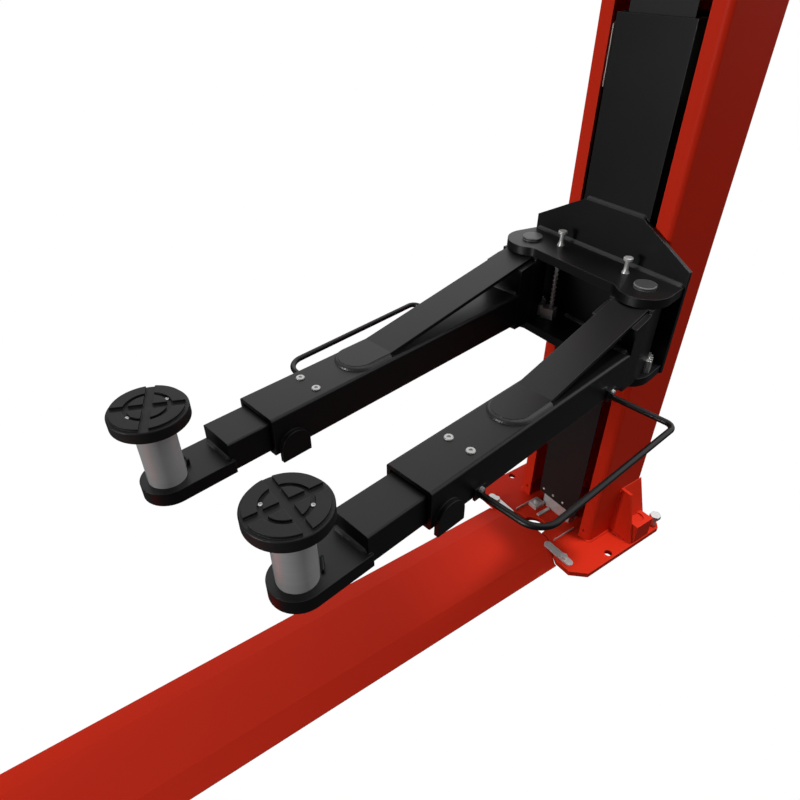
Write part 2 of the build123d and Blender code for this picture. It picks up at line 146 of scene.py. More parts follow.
# Fine lathe lines or rolling marks, stretched along one axis
def lineGroup():
    group, start, end = newGroup("toolLines", [
        ("Stretch", "NodeSocketVector", (4.0, 4.0, 900.0)), ("Rough", "NodeSocketFloat", 0.25),
        ("Rough Spread", "NodeSocketFloat", 0.15), ("Dark", "NodeSocketColor", (0.4, 0.4, 0.4, 1)),
        ("Light", "NodeSocketColor", (0.6, 0.6, 0.6, 1)),
    ], [("Color", "NodeSocketColor"), ("Roughness", "NodeSocketFloat"), ("Height", "NodeSocketFloat")])
    place = addNode(group, "ShaderNodeTexCoord")
    stretched = addNode(group, "ShaderNodeVectorMath", operation="MULTIPLY")
    wire(group, (place, "Object"), (stretched, 0))
    wire(group, (start, "Stretch"), (stretched, 1))
    lines = addNode(group, "ShaderNodeTexNoise", {"Scale": 1.0, "Detail": 3.0, "Roughness": 0.65})
    wire(group, (stretched, 0), (lines, "Vector"))
    mixed = addNode(group, "ShaderNodeMix", data_type="RGBA")
    wire(group, (lines, "Fac"), (mixed, 0))
    wire(group, (start, "Dark"), (mixed, 6))
    wire(group, (start, "Light"), (mixed, 7))
    wire(group, (mixed, 2), (end, "Color"))
    roughAmount = addNode(group, "ShaderNodeMath", operation="MULTIPLY_ADD")
    wire(group, (lines, "Fac"), (roughAmount, 0))
    wire(group, (start, "Rough Spread"), (roughAmount, 1))
    wire(group, (start, "Rough"), (roughAmount, 2))
    wire(group, (roughAmount, 0), (end, "Roughness"))
    wire(group, (lines, "Fac"), (end, "Height"))
    return group


sprayedSkin = skinGroup()
roundedEdges = edgeGroup()
toolLines = lineGroup()


# Paint, rubber and plastic share this build: a skin, rounded edges lightened by a painted highlight, one
# Principled
def makeCoating(name, look):
    material = bpy.data.materials.new(name)
    material.use_nodes = True
    tree = material.node_tree
    shader = tree.nodes["Principled BSDF"]
    skin = useGroup(tree, sprayedSkin, {
        "Grain Scale": look["grainScale"], "Tone Scale": look["toneScale"], "Tone Spread": look["toneSpread"],
        "Base": (*look["color"], 1), "Rough": look["rough"], "Rough Spread": look["roughSpread"]})
    edges = useGroup(tree, roundedEdges, {"Radius": look["edgeRadius"], "Edge Gain": look["edgeGain"]})
    # Painted highlight: the edge mask mixes a lighter colour into the base colour along sharp edges
    highlightAmount = addNode(tree, "ShaderNodeMath", {1: look["highlightShare"]}, operation="MULTIPLY")
    wire(tree, (edges, "Edge"), (highlightAmount, 0))
    mixed = addNode(tree, "ShaderNodeMix", {7: (*look["edgeHighlight"], 1)}, data_type="RGBA")
    wire(tree, (highlightAmount, 0), (mixed, 0))
    wire(tree, (skin, "Color"), (mixed, 6))
    wire(tree, (mixed, 2), (shader, "Base Color"))
    wire(tree, (skin, "Roughness"), (shader, "Roughness"))
    bump = addNode(tree, "ShaderNodeBump", {
        "Strength": look["grainStrength"], "Distance": look["grainDepth"]})
    wire(tree, (skin, "Height"), (bump, "Height"))
    wire(tree, (edges, "Normal"), (bump, "Normal"))
    wire(tree, (bump, "Normal"), (shader, "Normal"))
    shader.inputs["IOR"].default_value = look["ior"]
    shader.inputs["Specular IOR Level"].default_value = look["shine"]
    return material


# Bare and plated metal
def makeMetal(name, look):
    material = bpy.data.materials.new(name)
    material.use_nodes = True
    tree = material.node_tree
    shader = tree.nodes["Principled BSDF"]
    lines = useGroup(tree, toolLines, {
        "Stretch": look["stretch"], "Rough": look["rough"], "Rough Spread": look["roughSpread"],
        "Dark": (*look["dark"], 1), "Light": (*look["light"], 1)})
    edges = useGroup(tree, roundedEdges, {"Radius": look["edgeRadius"]})
    wire(tree, (lines, "Color"), (shader, "Base Color"))
    wire(tree, (lines, "Roughness"), (shader, "Roughness"))
    bump = addNode(tree, "ShaderNodeBump", {"Strength": look["lineStrength"], "Distance": look["lineDepth"]})
    wire(tree, (lines, "Height"), (bump, "Height"))
    wire(tree, (edges, "Normal"), (bump, "Normal"))
    wire(tree, (bump, "Normal"), (shader, "Normal"))
    shader.inputs["Metallic"].default_value = look["metallic"]
    return material


redPaint = makeCoating("redPowderCoat", {
    "color": (0.60, 0.0250, 0.0085), "edgeHighlight": (0.80, 0.075, 0.035), "highlightShare": 0.60, "edgeGain": 6.0,
    "edgeRadius": 0.0022, "rough": 0.42, "roughSpread": 0.10, "grainScale": 380.0, "grainStrength": 0.12,
    "grainDepth": 0.0005, "toneScale": 3.0, "toneSpread": 0.10, "ior": 1.5, "shine": 0.05})
blackPaint = makeCoating("blackPowderCoat", {
    "color": (0.0030, 0.0030, 0.0031), "edgeHighlight": (0.09, 0.09, 0.09), "highlightShare": 0.35, "edgeGain": 5.0,
    "edgeRadius": 0.0020, "rough": 0.38, "roughSpread": 0.08, "grainScale": 420.0, "grainStrength": 0.14,
    "grainDepth": 0.0005, "toneScale": 4.0, "toneSpread": 0.25, "ior": 1.5, "shine": 0.42})
stripSheet = makeCoating("stripSheet", {
    "color": (0.0030, 0.0028, 0.0028), "edgeHighlight": (0.04, 0.04, 0.04), "highlightShare": 0.3, "edgeGain": 4.0,
    "edgeRadius": 0.0006, "rough": 0.55, "roughSpread": 0.12, "grainScale": 700.0, "grainStrength": 0.10,
    "grainDepth": 0.0003, "toneScale": 2.5, "toneSpread": 0.30, "ior": 1.45, "shine": 0.5})
slidePlastic = makeCoating("slidePlastic", {
    "color": (0.62, 0.60, 0.54), "edgeHighlight": (0.75, 0.73, 0.68), "highlightShare": 0.4, "edgeGain": 4.0,
    "edgeRadius": 0.0012, "rough": 0.45, "roughSpread": 0.10, "grainScale": 900.0, "grainStrength": 0.05,
    "grainDepth": 0.0003, "toneScale": 14.0, "toneSpread": 0.12, "ior": 1.5, "shine": 0.5})
padRubber = makeCoating("padRubber", {
    "color": (0.0045, 0.0045, 0.0045), "edgeHighlight": (0.05, 0.05, 0.05), "highlightShare": 0.55, "edgeGain": 5.0,
    "edgeRadius": 0.0014, "rough": 0.52, "roughSpread": 0.16, "grainScale": 1100.0, "grainStrength": 0.35,
    "grainDepth": 0.0006, "toneScale": 30.0, "toneSpread": 0.5, "ior": 1.45, "shine": 0.5})
turnedSteel = makeMetal("turnedSteel", {
    "dark": (0.56, 0.56, 0.56), "light": (0.67, 0.67, 0.67), "stretch": (3.0, 3.0, 260.0), "rough": 0.30,
    "roughSpread": 0.08, "lineStrength": 0.03, "lineDepth": 0.0002, "edgeRadius": 0.0012, "metallic": 0.35})
zincPlate = makeMetal("zincPlate", {
    "dark": (0.46, 0.46, 0.45), "light": (0.80, 0.80, 0.78), "stretch": (90.0, 90.0, 90.0), "rough": 0.26,
    "roughSpread": 0.20, "lineStrength": 0.08, "lineDepth": 0.0002, "edgeRadius": 0.0008, "metallic": 0.55})
# Welds on the black parts: a coat lighter than the black paint with bright edges, a painted sheen and painted
# highlights on the bead's toes
weldPaintedSheen = makeCoating("weldPaintedSheen", {
    "color": (0.040, 0.040, 0.041), "edgeHighlight": (0.16, 0.16, 0.16), "highlightShare": 0.45, "edgeGain": 4.0,
    "edgeRadius": 0.0008, "rough": 0.34, "roughSpread": 0.12, "grainScale": 600.0, "grainStrength": 0.20,
    "grainDepth": 0.0004, "toneScale": 60.0, "toneSpread": 0.5, "ior": 1.5, "shine": 0.5})
springWire = makeMetal("springWire", {
    "dark": (0.78, 0.78, 0.77), "light": (0.94, 0.94, 0.93), "stretch": (300.0, 300.0, 300.0), "rough": 0.30,
    "roughSpread": 0.12, "lineStrength": 0.05, "lineDepth": 0.0002, "edgeRadius": 0.0003, "metallic": 0.10})
# Pivot pin heads: dark grey, with near-white painted highlight rims
pinSteel = makeCoating("pinSteel", {
    "color": (0.055, 0.055, 0.056), "edgeHighlight": (0.85, 0.85, 0.84), "highlightShare": 0.90, "edgeGain": 5.0,
    "edgeRadius": 0.0016, "rough": 0.30, "roughSpread": 0.14, "grainScale": 240.0, "grainStrength": 0.10,
    "grainDepth": 0.0003, "toneScale": 40.0, "toneSpread": 0.35, "ior": 1.5, "shine": 0.5})
brightScrew = makeMetal("brightScrew", {
    "dark": (0.75, 0.75, 0.74), "light": (0.93, 0.93, 0.92), "stretch": (400.0, 400.0, 400.0), "rough": 0.30,
    "roughSpread": 0.20, "lineStrength": 0.08, "lineDepth": 0.0002, "edgeRadius": 0.0004, "metallic": 0.6})

# The CAD nodes take their finish from their slot, apart from the pivot pins
finishes = {"red_powder": redPaint, "black_powder": blackPaint, "cover_plastic": stripSheet,
            "guide_plastic": slidePlastic, "zinc": zincPlate, "bright_steel": turnedSteel,
            "pad_rubber": padRubber}
slotOf = {part["node"]: part["material_slot"] for part in frame["record"]["subparts"]}
for nodeName, node in nodes.items():
    finish = pinSteel if nodeName.endswith("_pivot_pins") else finishes[slotOf[nodeName]]
    for place in node.material_slots:
        place.material = finish
print("finishes set on", len(slotOf), "nodes")


# Geometry helpers. A shape is (points, faces). Rings of points are joined side by side, closed at both ends.

def skinRings(rings):
    count = len(rings[0])
    points = [Vector(point) for ring in rings for point in ring]
    faces = []
    for row in range(len(rings) - 1):
        for i in range(count):
            j = (i + 1) % count
            low, high = row * count, (row + 1) * count
            faces.append((low + i, low + j, high + j, high + i))
    faces.append(tuple(reversed(range(count))))
    faces.append(tuple((len(rings) - 1) * count + i for i in range(count)))
    return points, faces


def circle(radius, height, sides):
    return [(radius * math.cos(math.tau * i / sides), radius * math.sin(math.tau * i / sides), height)
            for i in range(sides)]


# A hexagon of `across` flats, drawn with as many points as the circles that it meets
def hexRing(across, height, sides):
    ring = []
    for i in range(sides):
        angle = math.tau * i / sides
        reach = across / 2 / math.cos((angle + math.pi / 6) % (math.pi / 3) - math.pi / 6)
        ring.append((reach * math.cos(angle), reach * math.sin(angle), height))
    return ring


def moved(shape, matrix):
    return [matrix @ point for point in shape[0]], shape[1]


def joined(shapes):
    points, faces = [], []
    for shapePoints, shapeFaces in shapes:
        offset = len(points)
        points += shapePoints
        faces += [tuple(offset + i for i in face) for face in shapeFaces]
    return points, faces


# Edges that bend by more than sharpAngle degrees stay sharp, and the rest is shaded smooth
def makePiece(name, shapes, material, body, sharpAngle=35.0):
    points, faces = joined(shapes)
    mesh = bpy.data.meshes.new(name)
    mesh.from_pydata([tuple(point) for point in points], [], faces)
    work = bmesh.new()
    work.from_mesh(mesh)
    bmesh.ops.recalc_face_normals(work, faces=work.faces)
    work.to_mesh(mesh)
    work.free()
    mesh.shade_smooth()
    mesh.set_sharp_from_angle(angle=math.radians(sharpAngle))
    piece = bpy.data.objects.new(name, mesh)
    bpy.context.scene.collection.objects.link(piece)
    mesh.materials.append(material)
    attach(piece, body)
    return piece


# Shares of a head's size: its crown, the slope to its corners, its broken edges and a socket's lead
headLook = {"crown": 0.93, "slope": 0.58, "washerEdge": 0.3, "socketEdge": 0.12, "lead": 1.12,
            "leadDepth": 0.08, "sides": 24}


def hexHead(across, height):
    sides = headLook["sides"]
    crown = across / 2 * headLook["crown"]
    toCorner = across / 2 / math.cos(math.pi / 6) - crown
    drop = toCorner * headLook["slope"]
    lower = [(x, y, height - drop * (math.hypot(x, y) - crown) / toCorner)
             for x, y, z in hexRing(across, 0, sides)]
    return skinRings([hexRing(across, 0, sides), lower, circle(crown, height, sides)])


def washer(radius, height):
    edge, sides = height * headLook["washerEdge"], headLook["sides"]
    return skinRings([circle(radius, 0, sides), circle(radius, height - edge, sides),
                      circle(radius - edge, height, sides)])


# A flat round head with a hexagon socket, seated at z = 0
def socketHead(screw):
    radius, height, socket, sides = screw["radius"], screw["height"], screw["socket"], screw["sides"]
    edge, lead = radius * headLook["socketEdge"], socket * headLook["leadDepth"]
    return skinRings([circle(radius, 0, sides), circle(radius, height - edge, sides),
                      circle(radius - edge, height, sides), hexRing(socket * headLook["lead"], height, sides),
                      hexRing(socket, height - lead, sides), hexRing(socket, height - screw["depth"], sides)])


# Places a shape's z axis along `direction`, with its origin at `point`
def aimed(point, direction):
    turn = Vector(direction).to_track_quat("Z", "Y").to_matrix().to_4x4()
    return Matrix.Translation(point) @ turn


# The corners of a CAD node's box in a local frame
def boxIn(nodeName, toLocal):
    points = [toLocal @ vertex.co for vertex in nodes[nodeName].data.vertices]
    low = Vector(min(point[i] for point in points) for i in range(3))
    high = Vector(max(point[i] for point in points) for i in range(3))
    return low, high


# A bead's ripples, its sunk corner, its section as shares of its leg, and how it tapers at its ends
weldLook = {"ripple": 0.0042, "swell": 0.07, "step": 0.0014, "sink": 0.0008, "flank": (0.86, 0.34),
            "flankReach": 0.768, "crownReach": 0.552, "endSize": 0.35, "endGrowth": 0.25, "sharpAngle": 50.0}


# A fillet weld along a path. outs and ups give the way of its two legs at each point.
def weldBead(path, outs, ups, leg):
    rings, travelled = [], 0.0
    near, far = weldLook["flank"]
    for i, point in enumerate(path):
        if i:
            travelled += (point - path[i - 1]).length
        phase = travelled / weldLook["ripple"] % 1.0
        size = leg * (1 + weldLook["swell"] * (phase - 0.5))
        size *= min(1.0, weldLook["endSize"] + min(i, len(path) - 1 - i) * weldLook["endGrowth"])
        out, up = outs[i], ups[i]
        corner = point - (out + up) * weldLook["sink"]
        flank, crown = size * weldLook["flankReach"], size * weldLook["crownReach"]
        rings.append([corner, corner + out * size,
                      point + (out * near + up * far) * flank, point + (out + up) * crown,
                      point + (out * far + up * near) * flank, corner + up * size])
    return skinRings(rings)


def straightWeld(start, end, out, up, leg):
    start, end = Vector(start), Vector(end)
    count = max(4, int((end - start).length / weldLook["step"]))
    path = [start.lerp(end, i / count) for i in range(count + 1)]
    outs, ups = [Vector(out).normalized()] * (count + 1), [Vector(up).normalized()] * (count + 1)
    return weldBead(path, outs, ups, leg)


def makeWelds(name, beads, material, body):
    makePiece(name, beads, material, body, weldLook["sharpAngle"])


# A round wire or rod along points, closed at both ends
def wireAlong(points, radius, sides):
    rings = []
    side = None
    for i, point in enumerate(points):
        ahead = points[min(i + 1, len(points) - 1)] - points[max(i - 1, 0)]
        ahead.normalize()
        if side is None:
            side = ahead.orthogonal().normalized()
        side = (side - ahead * side.dot(ahead)).normalized()
        other = ahead.cross(side)
        turns = [math.tau * k / sides for k in range(sides)]
        rings.append([point + (side * math.cos(turn) + other * math.sin(turn)) * radius for turn in turns])
    return skinRings(rings)


# Local frames: a post's x axis points into its column, an arm's outwards and its y to the guard's side
def postFrame(post):
    low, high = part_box(f"{post}_column")
    way = 1 if low.x > 0 else -1
    front = low.x if way > 0 else high.x
    return Matrix.Translation((front, 0, 0)) @ Matrix.Diagonal((way, 1, 1, 1))


def armFrame(post, label):
    pivot = Vector(joints[f"{post}_{label}_swing"]["pos_m"])
    low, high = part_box(f"{post}_{label}_pad")
    along = (low + high) / 2 - pivot
    along.z = 0
    along.normalize()
    across = upward.cross(along)
    low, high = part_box(f"{post}_{label}_foot_guard")
    if ((low + high) / 2 - pivot).dot(across) < 0:
        across = -across
    return Matrix(((along.x, across.x, 0, pivot.x), (along.y, across.y, 0, pivot.y),
                   (0, 0, 1, 0), (0, 0, 0, 1)))


def placeAll(shapes, place):
    return [moved(shape, place) for shape in shapes]


def standOn(place, point, shape):
    return moved(shape, aimed(place @ Vector(point), upward))


# A low block with its upper edges broken
def slab(low, high, edge):
    def ring(inset, z):
        return [(low[0] + inset, low[1] + inset, z), (high[0] - inset, low[1] + inset, z),
                (high[0] - inset, high[1] - inset, z), (low[0] + inset, high[1] - inset, z)]
    return skinRings([ring(0, low[2]), ring(0, high[2] - edge), ring(edge, high[2])])


# Socket screws on top of each outer tube
stopScrew = {"radius": 0.0085, "height": 0.0028, "socket": 0.0062, "depth": 0.0022, "sides": 24,
             "fromEnd": 0.117, "aside": 0.024}


def stopScrews(prefix, place, tubeEnd, tubeTop):
    head = socketHead(stopScrew)
    seats = [(tubeEnd - stopScrew["fromEnd"], side * stopScrew["aside"], tubeTop) for side in (-1, 1)]
    makePiece(f"{prefix}_stop_screws", [standOn(place, seat, head) for seat in seats], zincPlate,
              f"{prefix}_arm")


# Hexagon bolts that hold the guard's tabs to the tube
guardBolt = {"across": 0.0095, "height": 0.0042, "washer": 0.0056, "washerHeight": 0.0012, "sink": 0.8,
             "inset": 0.013, "drop": 0.0062, "tab": 0.005}


def guardBolts(prefix, place, guardLow, guardHigh):
    outward = place.to_3x3() @ Vector((0, 1, 0))
    shapes = []
    for along in (guardLow.x + guardBolt["inset"], guardHigh.x - guardBolt["inset"]):
        point = Vector((along, guardLow.y + guardBolt["tab"], guardHigh.z - guardBolt["drop"]))
        seat = aimed(place @ point, outward)
        headSeat = seat @ Matrix.Translation((0, 0, guardBolt["washerHeight"] * guardBolt["sink"]))
        shapes.append(moved(washer(guardBolt["washer"], guardBolt["washerHeight"]), seat))
        shapes.append(moved(hexHead(guardBolt["across"], guardBolt["height"]), headSeat))
    makePiece(f"{prefix}_guard_bolts", shapes, zincPlate, f"{prefix}_arm")


# Weld round the strap's tongue and across the tube where the hinge bracket ends
strapWeld = {"leg": 0.0085, "halfWidth": 0.038, "length": {"front": 0.103, "rear": 0.095}}
rootWeld = {"leg": 0.0075, "fromPivot": 0.100, "halfLength": 0.043}


def armWelds(prefix, label, place, strapEnd, tubeTop):
    half = strapWeld["halfWidth"]
    middle = strapEnd - half
    start = strapEnd - strapWeld["length"][label]
    count = int((middle - start) / weldLook["step"])
    turns = int(math.pi * half / weldLook["step"])
    run = [start + (middle - start) * i / count for i in range(count)]
    path, outs = [(along, half) for along in run], [(0, 1)] * count
    for i in range(turns + 1):
        angle = math.pi * (0.5 - i / turns)
        outs.append((math.cos(angle), math.sin(angle)))
        path.append((middle + half * math.cos(angle), half * math.sin(angle)))
    path += [(along, -half) for along in reversed(run)]
    outs += [(0, -1)] * count
    tongue = weldBead([Vector((*point, tubeTop)) for point in path], [Vector((*out, 0)) for out in outs],
                      [upward] * len(path), strapWeld["leg"])
    root, reach = rootWeld["fromPivot"], rootWeld["halfLength"]
    across = straightWeld((root, -reach, tubeTop), (root, reach, tubeTop), (1, 0, 0), upward, rootWeld["leg"])
    makeWelds(f"{prefix}_arm_welds", placeAll([tongue, across], place), weldPaintedSheen, f"{prefix}_arm")


# Screws that hold the toothed sector to the bracket
sectorScrew = {"radius": 0.0030, "height": 0.0026, "socket": 0.0030, "depth": 0.0014, "sides": 18,
               "reach": 0.0452, "angles": (112, 180, 248)}


def sectorScrews(prefix, place):
    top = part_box(f"{prefix}_gear_sector")[1].z
    head = socketHead(sectorScrew)
    shapes = []
    for angle in sectorScrew["angles"]:
        turn = math.radians(angle)
        seat = (sectorScrew["reach"] * math.cos(turn), sectorScrew["reach"] * math.sin(turn), top)
        shapes.append(standOn(place, seat, head))
    makePiece(f"{prefix}_sector_screws", shapes, zincPlate, f"{prefix}_arm")


# Weld between the inner tube's closed end and its flat nose, and the small catch beside the stub
noseWeld = {"leg": 0.0070, "halfLength": 0.037, "noseHeight": 0.026, "toPad": {"front": 0.097, "rear": 0.096}}
noseCatch = {"radius": 0.0032, "start": (-0.040, 0.004), "bend": (0.002, 0.003, 0.002),
             "end": (-0.030, 0.019), "rise": 0.010, "sides": 14, "sharpAngle": 50.0}


def noseDetails(prefix, label, place, noseBottom, padCentre):
    top, reach = noseBottom + noseWeld["noseHeight"], noseWeld["halfLength"]
    tubeEnd = padCentre - noseWeld["toPad"][label]
    bead = straightWeld((tubeEnd, -reach, top), (tubeEnd, reach, top), (1, 0, 0), upward, noseWeld["leg"])
    makeWelds(f"{prefix}_nose_weld", placeAll([bead], place), weldPaintedSheen, f"{prefix}_extension")
    first, last, bend = noseCatch["start"], noseCatch["end"], noseCatch["bend"]
    high, radius = top + noseCatch["rise"], noseCatch["radius"]
    points = [(first[0], first[1], top), (first[0], first[1], high),
              (first[0] + bend[0], first[1] + bend[1], high + bend[2]), (last[0], last[1], top + radius)]
    lever = wireAlong([Vector((padCentre + x, y, z)) for x, y, z in points], radius, noseCatch["sides"])
    makePiece(f"{prefix}_nose_catch", placeAll([lever], place), blackPaint, f"{prefix}_extension",
              noseCatch["sharpAngle"])


# Two bright screws in the groove of each pad's tread, and where the treads' crossed grooves point
padScrew = {"radius": 0.0034, "height": 0.0016, "socket": 0.0036, "depth": 0.0011, "sides": 18,
            "reach": 0.0335, "fromGroove": -35.5, "below": 0.0045}
grooveTurn = {"front": -9.0, "rear": 32.0}


def padScrews(prefix, label, place, padCentre, padTop):
    head = socketHead(padScrew)
    angle = math.radians(grooveTurn[label] + padScrew["fromGroove"])
    shapes = []
    for reach in (-padScrew["reach"], padScrew["reach"]):
        seat = (padCentre + reach * math.cos(angle), reach * math.sin(angle), padTop - padScrew["below"])
        shapes.append(standOn(place, seat, head))
    makePiece(f"{prefix}_pad_screws", shapes, brightScrew, f"{prefix}_pad")


# A wire spring in place of the plain sleeve
lockSpring = {"wire": 0.0011, "pitch": 0.0110, "perTurn": 14, "sides": 6, "travel": 0.016, "sharpAngle": 60.0}


def springCoil(prefix, post):
    low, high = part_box(f"{prefix}_lock_spring")
    wireRadius = lockSpring["wire"]
    centre, radius = (low + high) / 2, (high.x - low.x) / 2 - wireRadius
    rise = high.z - low.z - 2 * wireRadius
    count = int(rise / lockSpring["pitch"] * lockSpring["perTurn"])
    points = []
    for i in range(count + 1):
        angle = math.tau * i / lockSpring["perTurn"]
        points.append(Vector((centre.x + radius * math.cos(angle), centre.y + radius * math.sin(angle),
                              low.z + wireRadius + rise * i / count)))
    coil = makePiece(f"{prefix}_lock_coil", [wireAlong(points, wireRadius, lockSpring["sides"])], springWire,
                     f"{post}_carriage", lockSpring["sharpAngle"])
    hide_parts(f"{prefix}_lock_spring")
    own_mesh(coil)


def dressArm(post, label):
    prefix = f"{post}_{label}"
    place = armFrame(post, label)
    toLocal = place.inverted()
    tubeHigh = boxIn(f"{prefix}_outer_tube", toLocal)[1]
    rootHigh = boxIn(f"{prefix}_arm_root", toLocal)[1]
    innerLow = boxIn(f"{prefix}_inner_arm", toLocal)[0]
    guardLow, guardHigh = boxIn(f"{prefix}_foot_guard", toLocal)
    padLow, padHigh = boxIn(f"{prefix}_pad", toLocal)
    padCentre = (padLow.x + padHigh.x) / 2
    stopScrews(prefix, place, tubeHigh.x, tubeHigh.z)
    guardBolts(prefix, place, guardLow, guardHigh)
    armWelds(prefix, label, place, rootHigh.x, tubeHigh.z)
    sectorScrews(prefix, place)
    noseDetails(prefix, label, place, innerLow.z, padCentre)
    padScrews(prefix, label, place, padCentre, padHigh.z)
    springCoil(prefix, post)


for post in posts:
    for label in armNames:
        dressArm(post, label)
print("arms dressed")


# Welds on the carriage: along both hinge plates and over the face plate's top edge
hingeWeld = {"leg": 0.008, "plate": 0.020, "fullReach": 0.204, "innerReach": 0.078}
faceWeld = {"leg": 0.008, "halfLength": 0.079, "height": 0.952, "depth": -0.005}


def carriageWelds(post, place):
    low, high = boxIn(f"{post}_hinge_plates", place.inverted())
    front, plate, leg = high.x, hingeWeld["plate"], hingeWeld["leg"]
    beads = []
    full, inner = hingeWeld["fullReach"], hingeWeld["innerReach"]
    for z, way, reach in ((high.z, 1, full), (high.z - plate, -1, inner), (low.z + plate, 1, inner)):
        beads.append(straightWeld((front, -reach, z), (front, reach, z), (-1, 0, 0), (0, 0, way), leg))
    depth, reach, z = faceWeld["depth"], faceWeld["halfLength"], faceWeld["height"]
    beads.append(straightWeld((depth, -reach, z), (depth, reach, z), (-1, 0, 0), upward, faceWeld["leg"]))
    makeWelds(f"{post}_carriage_welds", placeAll(beads, place), weldPaintedSheen, f"{post}_carriage")


# Welds round the column's foot and along its brackets
footWeld = {"leg": 0.0058, "lip": 0.102, "corner": 0.012, "sideEnd": 0.092, "turns": 12}
bracketWeld = {"leg": 0.0048, "front": 0.093, "reach": 0.072, "low": 0.023, "high": 0.176}


def footWelds(post, place):
    low, high = boxIn(f"{post}_column", place.inverted())
    base, half, corner, front = low.z, high.y, footWeld["corner"], bracketWeld["front"]
    beads = []
    for side in (-1, 1):
        path = [(low.x, side * y) for y in (footWeld["lip"], half - corner)]
        outs = [(-1, 0), (-1, 0)]
        for i in range(1, footWeld["turns"] + 1):
            angle = math.pi - math.pi / 2 * i / footWeld["turns"]
            outs.append((math.cos(angle), side * math.sin(angle)))
            path.append((low.x + corner + corner * math.cos(angle),
                         side * (half - corner + corner * math.sin(angle))))
        run = footWeld["sideEnd"] - corner
        count = int(run / weldLook["step"])
        path += [(corner + run * i / count, side * half) for i in range(1, count + 1)]
        outs += [(0, side)] * count
        beads.append(weldBead([Vector((*point, base)) for point in path], [Vector((*out, 0)) for out in outs],
                              [upward] * len(path), footWeld["leg"]))
        root, tip = side * half, side * (half + bracketWeld["reach"])
        beads.append(straightWeld((front, root, base), (front, tip, base), (-1, 0, 0), upward,
                                  bracketWeld["leg"]))
        beads.append(straightWeld((front, root, bracketWeld["low"]), (front, root, bracketWeld["high"]),
                                  (-1, 0, 0), (0, side, 0), bracketWeld["leg"]))
    beads.append(straightWeld((high.x, corner - half, base), (high.x, half - corner, base), (1, 0, 0), upward,
                              footWeld["leg"]))
    makeWelds(f"{post}_foot_welds", placeAll(beads, place), redPaint, "frame")


# Rivets along the cover strip's lower edge
stripRivet = {"radius": 0.0042, "height": 0.0016, "sides": 20, "rise": 0.015,
              "places": (-0.057, -0.019, 0.019, 0.057),
              "dome": ((1, 0), (0.96, 0.35), (0.80, 0.72), (0.52, 0.93), (0.2, 1.0))}


def stripRivets(post, place):
    low = boxIn(f"{post}_cover_strip", place.inverted())[0]
    radius, height = stripRivet["radius"], stripRivet["height"]
    head = skinRings([circle(radius * share, height * rise, stripRivet["sides"])
                      for share, rise in stripRivet["dome"]])
    outward = place.to_3x3() @ Vector((-1, 0, 0))
    shapes = [moved(head, aimed(place @ Vector((low.x, y, low.z + stripRivet["rise"])), outward))
              for y in stripRivet["places"]]
    makePiece(f"{post}_strip_rivets", shapes, zincPlate, "frame")


# At the column's foot: a clamp block with its bolt, a bar, and two strips along the opening's edges
hoseClamp = {"low": (-0.032, 0.042, 0.016), "high": (0.005, 0.073, 0.030), "edge": 0.0015,
             "bolt": (-0.015, 0.058), "across": 0.013, "head": 0.006, "headRise": 0.001, "washer": 0.00936,
             "washerHeight": 0.0014}
hoseBar = {"low": (-0.042, 0.017, 0.016), "high": (0.005, 0.027, 0.022), "edge": 0.001}
trayEdge = {"start": -0.078, "end": 0.006, "aside": 0.078, "thick": 0.0022, "low": 0.016, "high": 0.0235,
            "edge": 0.0005}


def footFittings(post, place):
    blocks = [slab(part["low"], part["high"], part["edge"]) for part in (hoseClamp, hoseBar)]
    bolt = aimed(place @ Vector((*hoseClamp["bolt"], hoseClamp["high"][2])), upward)
    headSeat = bolt @ Matrix.Translation((0, 0, hoseClamp["headRise"]))
    shapes = placeAll(blocks, place)
    shapes.append(moved(washer(hoseClamp["washer"], hoseClamp["washerHeight"]), bolt))
    shapes.append(moved(hexHead(hoseClamp["across"], hoseClamp["head"]), headSeat))
    makePiece(f"{post}_hose_clamp", shapes, zincPlate, "frame")
    edges = []
    for side in (-1, 1):
        near = side * trayEdge["aside"] - trayEdge["thick"] / 2
        edges.append(slab((trayEdge["start"], near, trayEdge["low"]),
                          (trayEdge["end"], near + trayEdge["thick"], trayEdge["high"]), trayEdge["edge"]))
    makePiece(f"{post}_tray_edges", placeAll(edges, place), zincPlate, "frame")


for post in posts:
    place = postFrame(post)
    carriageWelds(post, place)
    footWelds(post, place)
    stripRivets(post, place)
    footFittings(post, place)
print("posts dressed")


# Stage: white floor that stays dim to everything but the camera, as the photo's sides are nearly black
floorLook = {"reach": 60.0, "below": 0.0005, "shade": (0.035, 0.035, 0.035, 1), "rough": 0.9}


def makeFloor():
    side = floorLook["reach"]
    mesh = bpy.data.meshes.new("studioFloor")
    corners = [(-side, -side, 0), (side, -side, 0), (side, side, 0), (-side, side, 0)]
    mesh.from_pydata(corners, [], [(0, 1, 2, 3)])
    floor = bpy.data.objects.new("studioFloor", mesh)
    bpy.context.scene.collection.objects.link(floor)
    floor.location.z = -floorLook["below"]
    material = bpy.data.materials.new("paleFloor")
    material.use_nodes = True
    tree = material.node_tree
    dim = tree.nodes["Principled BSDF"]
    dim.inputs["Base Color"].default_value = floorLook["shade"]
    dim.inputs["Roughness"].default_value = floorLook["rough"]
    bright = addNode(tree, "ShaderNodeEmission", {"Color": (1, 1, 1, 1), "Strength": 1.0})
    rays = addNode(tree, "ShaderNodeLightPath")
    choice = addNode(tree, "ShaderNodeMixShader")
    wire(tree, (rays, "Is Camera Ray"), (choice, 0))
    wire(tree, (dim, 0), (choice, 1))
    wire(tree, (bright, 0), (choice, 2))
    wire(tree, (choice, 0), (tree.nodes["Material Output"], "Surface"))
    mesh.materials.append(material)


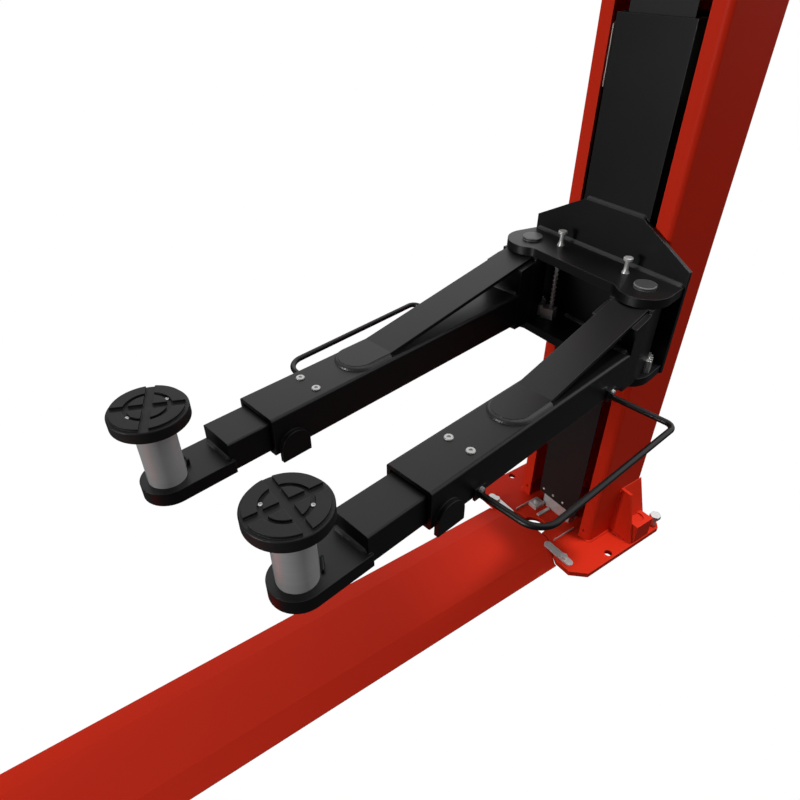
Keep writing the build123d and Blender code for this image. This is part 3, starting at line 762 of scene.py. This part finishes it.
# A soft sky that is bright on one side, while the camera itself sees plain white
skyLook = {"towards": (0.72, 0.20, 0.66), "darkAt": 0.15, "dark": (0.05, 0.05, 0.05, 1), "brightAt": 0.70,
           "bright": (1.05, 1.05, 1.07, 1)}


def makeWorld():
    world = bpy.data.worlds.new("studio")
    bpy.context.scene.world = world
    world.use_nodes = True
    tree = world.node_tree
    sky = tree.nodes["Background"]
    place = addNode(tree, "ShaderNodeTexCoord")
    towards = addNode(tree, "ShaderNodeVectorMath", {1: skyLook["towards"]}, operation="DOT_PRODUCT")
    ramp = addNode(tree, "ShaderNodeValToRGB")
    steps = ramp.color_ramp.elements
    steps[0].position, steps[0].color = skyLook["darkAt"], skyLook["dark"]
    steps[1].position, steps[1].color = skyLook["brightAt"], skyLook["bright"]
    wire(tree, (place, "Generated"), (towards, 0))
    wire(tree, (towards, "Value"), (ramp, 0))
    wire(tree, (ramp, "Color"), (sky, "Color"))
    white = addNode(tree, "ShaderNodeBackground", {"Color": (1, 1, 1, 1), "Strength": 1.0})
    rays = addNode(tree, "ShaderNodeLightPath")
    choice = addNode(tree, "ShaderNodeMixShader")
    wire(tree, (rays, "Is Camera Ray"), (choice, 0))
    wire(tree, (sky, 0), (choice, 1))
    wire(tree, (white, 0), (choice, 2))
    wire(tree, (choice, 0), (tree.nodes["World Output"], "Surface"))


# A key lamp from the far post's side, and a narrow spot on the right column's foot
keyLamp = {"place": (-6.0, 0.3, 1.9), "aim": (1.3, 0.0, 0.9), "size": 1.8, "power": 500.0}
footSpot = {"place": (1.9, -0.7, 6.0), "aim": (1.45, -0.14, 0.0), "cone": 9.0, "blend": 0.6, "power": 1000.0,
            "radius": 0.3}


def makeLamp(name, kind, look):
    light = bpy.data.lights.new(name, kind)
    light.energy = look["power"]
    lamp = bpy.data.objects.new(name, light)
    bpy.context.scene.collection.objects.link(lamp)
    lamp.location = look["place"]
    lamp.rotation_euler = (Vector(look["aim"]) - Vector(look["place"])).to_track_quat("-Z", "Y").to_euler()
    return light


def makeLamps():
    makeLamp("keyLamp", "AREA", keyLamp).size = keyLamp["size"]
    spot = makeLamp("footSpot", "SPOT", footSpot)
    spot.spot_size = math.radians(footSpot["cone"])
    spot.spot_blend = footSpot["blend"]
    spot.shadow_soft_size = footSpot["radius"]


# Solved from the photo
cameraLook = {"place": (0.23997, -0.84397, 1.41426), "forward": (0.44765, 0.65189, -0.61210), "roll": 0.339,
              "lens": 28.358, "sensor": 36.0, "shiftX": 0.00541, "shiftY": 0.03011}


def makeCamera():
    lens = bpy.data.cameras.new("photoCamera")
    lens.lens = cameraLook["lens"]
    lens.sensor_width = cameraLook["sensor"]
    lens.shift_x = cameraLook["shiftX"]
    lens.shift_y = cameraLook["shiftY"]
    camera = bpy.data.objects.new("photoCamera", lens)
    bpy.context.scene.collection.objects.link(camera)
    camera.location = cameraLook["place"]
    level = Vector(cameraLook["forward"]).to_track_quat("-Z", "Y").to_matrix()
    camera.rotation_euler = (level @ Matrix.Rotation(-math.radians(cameraLook["roll"]), 3, "Z")).to_euler()
    bpy.context.scene.camera = camera


makeFloor()
makeWorld()
makeLamps()
makeCamera()
bpy.context.scene.view_settings.view_transform = "Standard"
print("stage set")
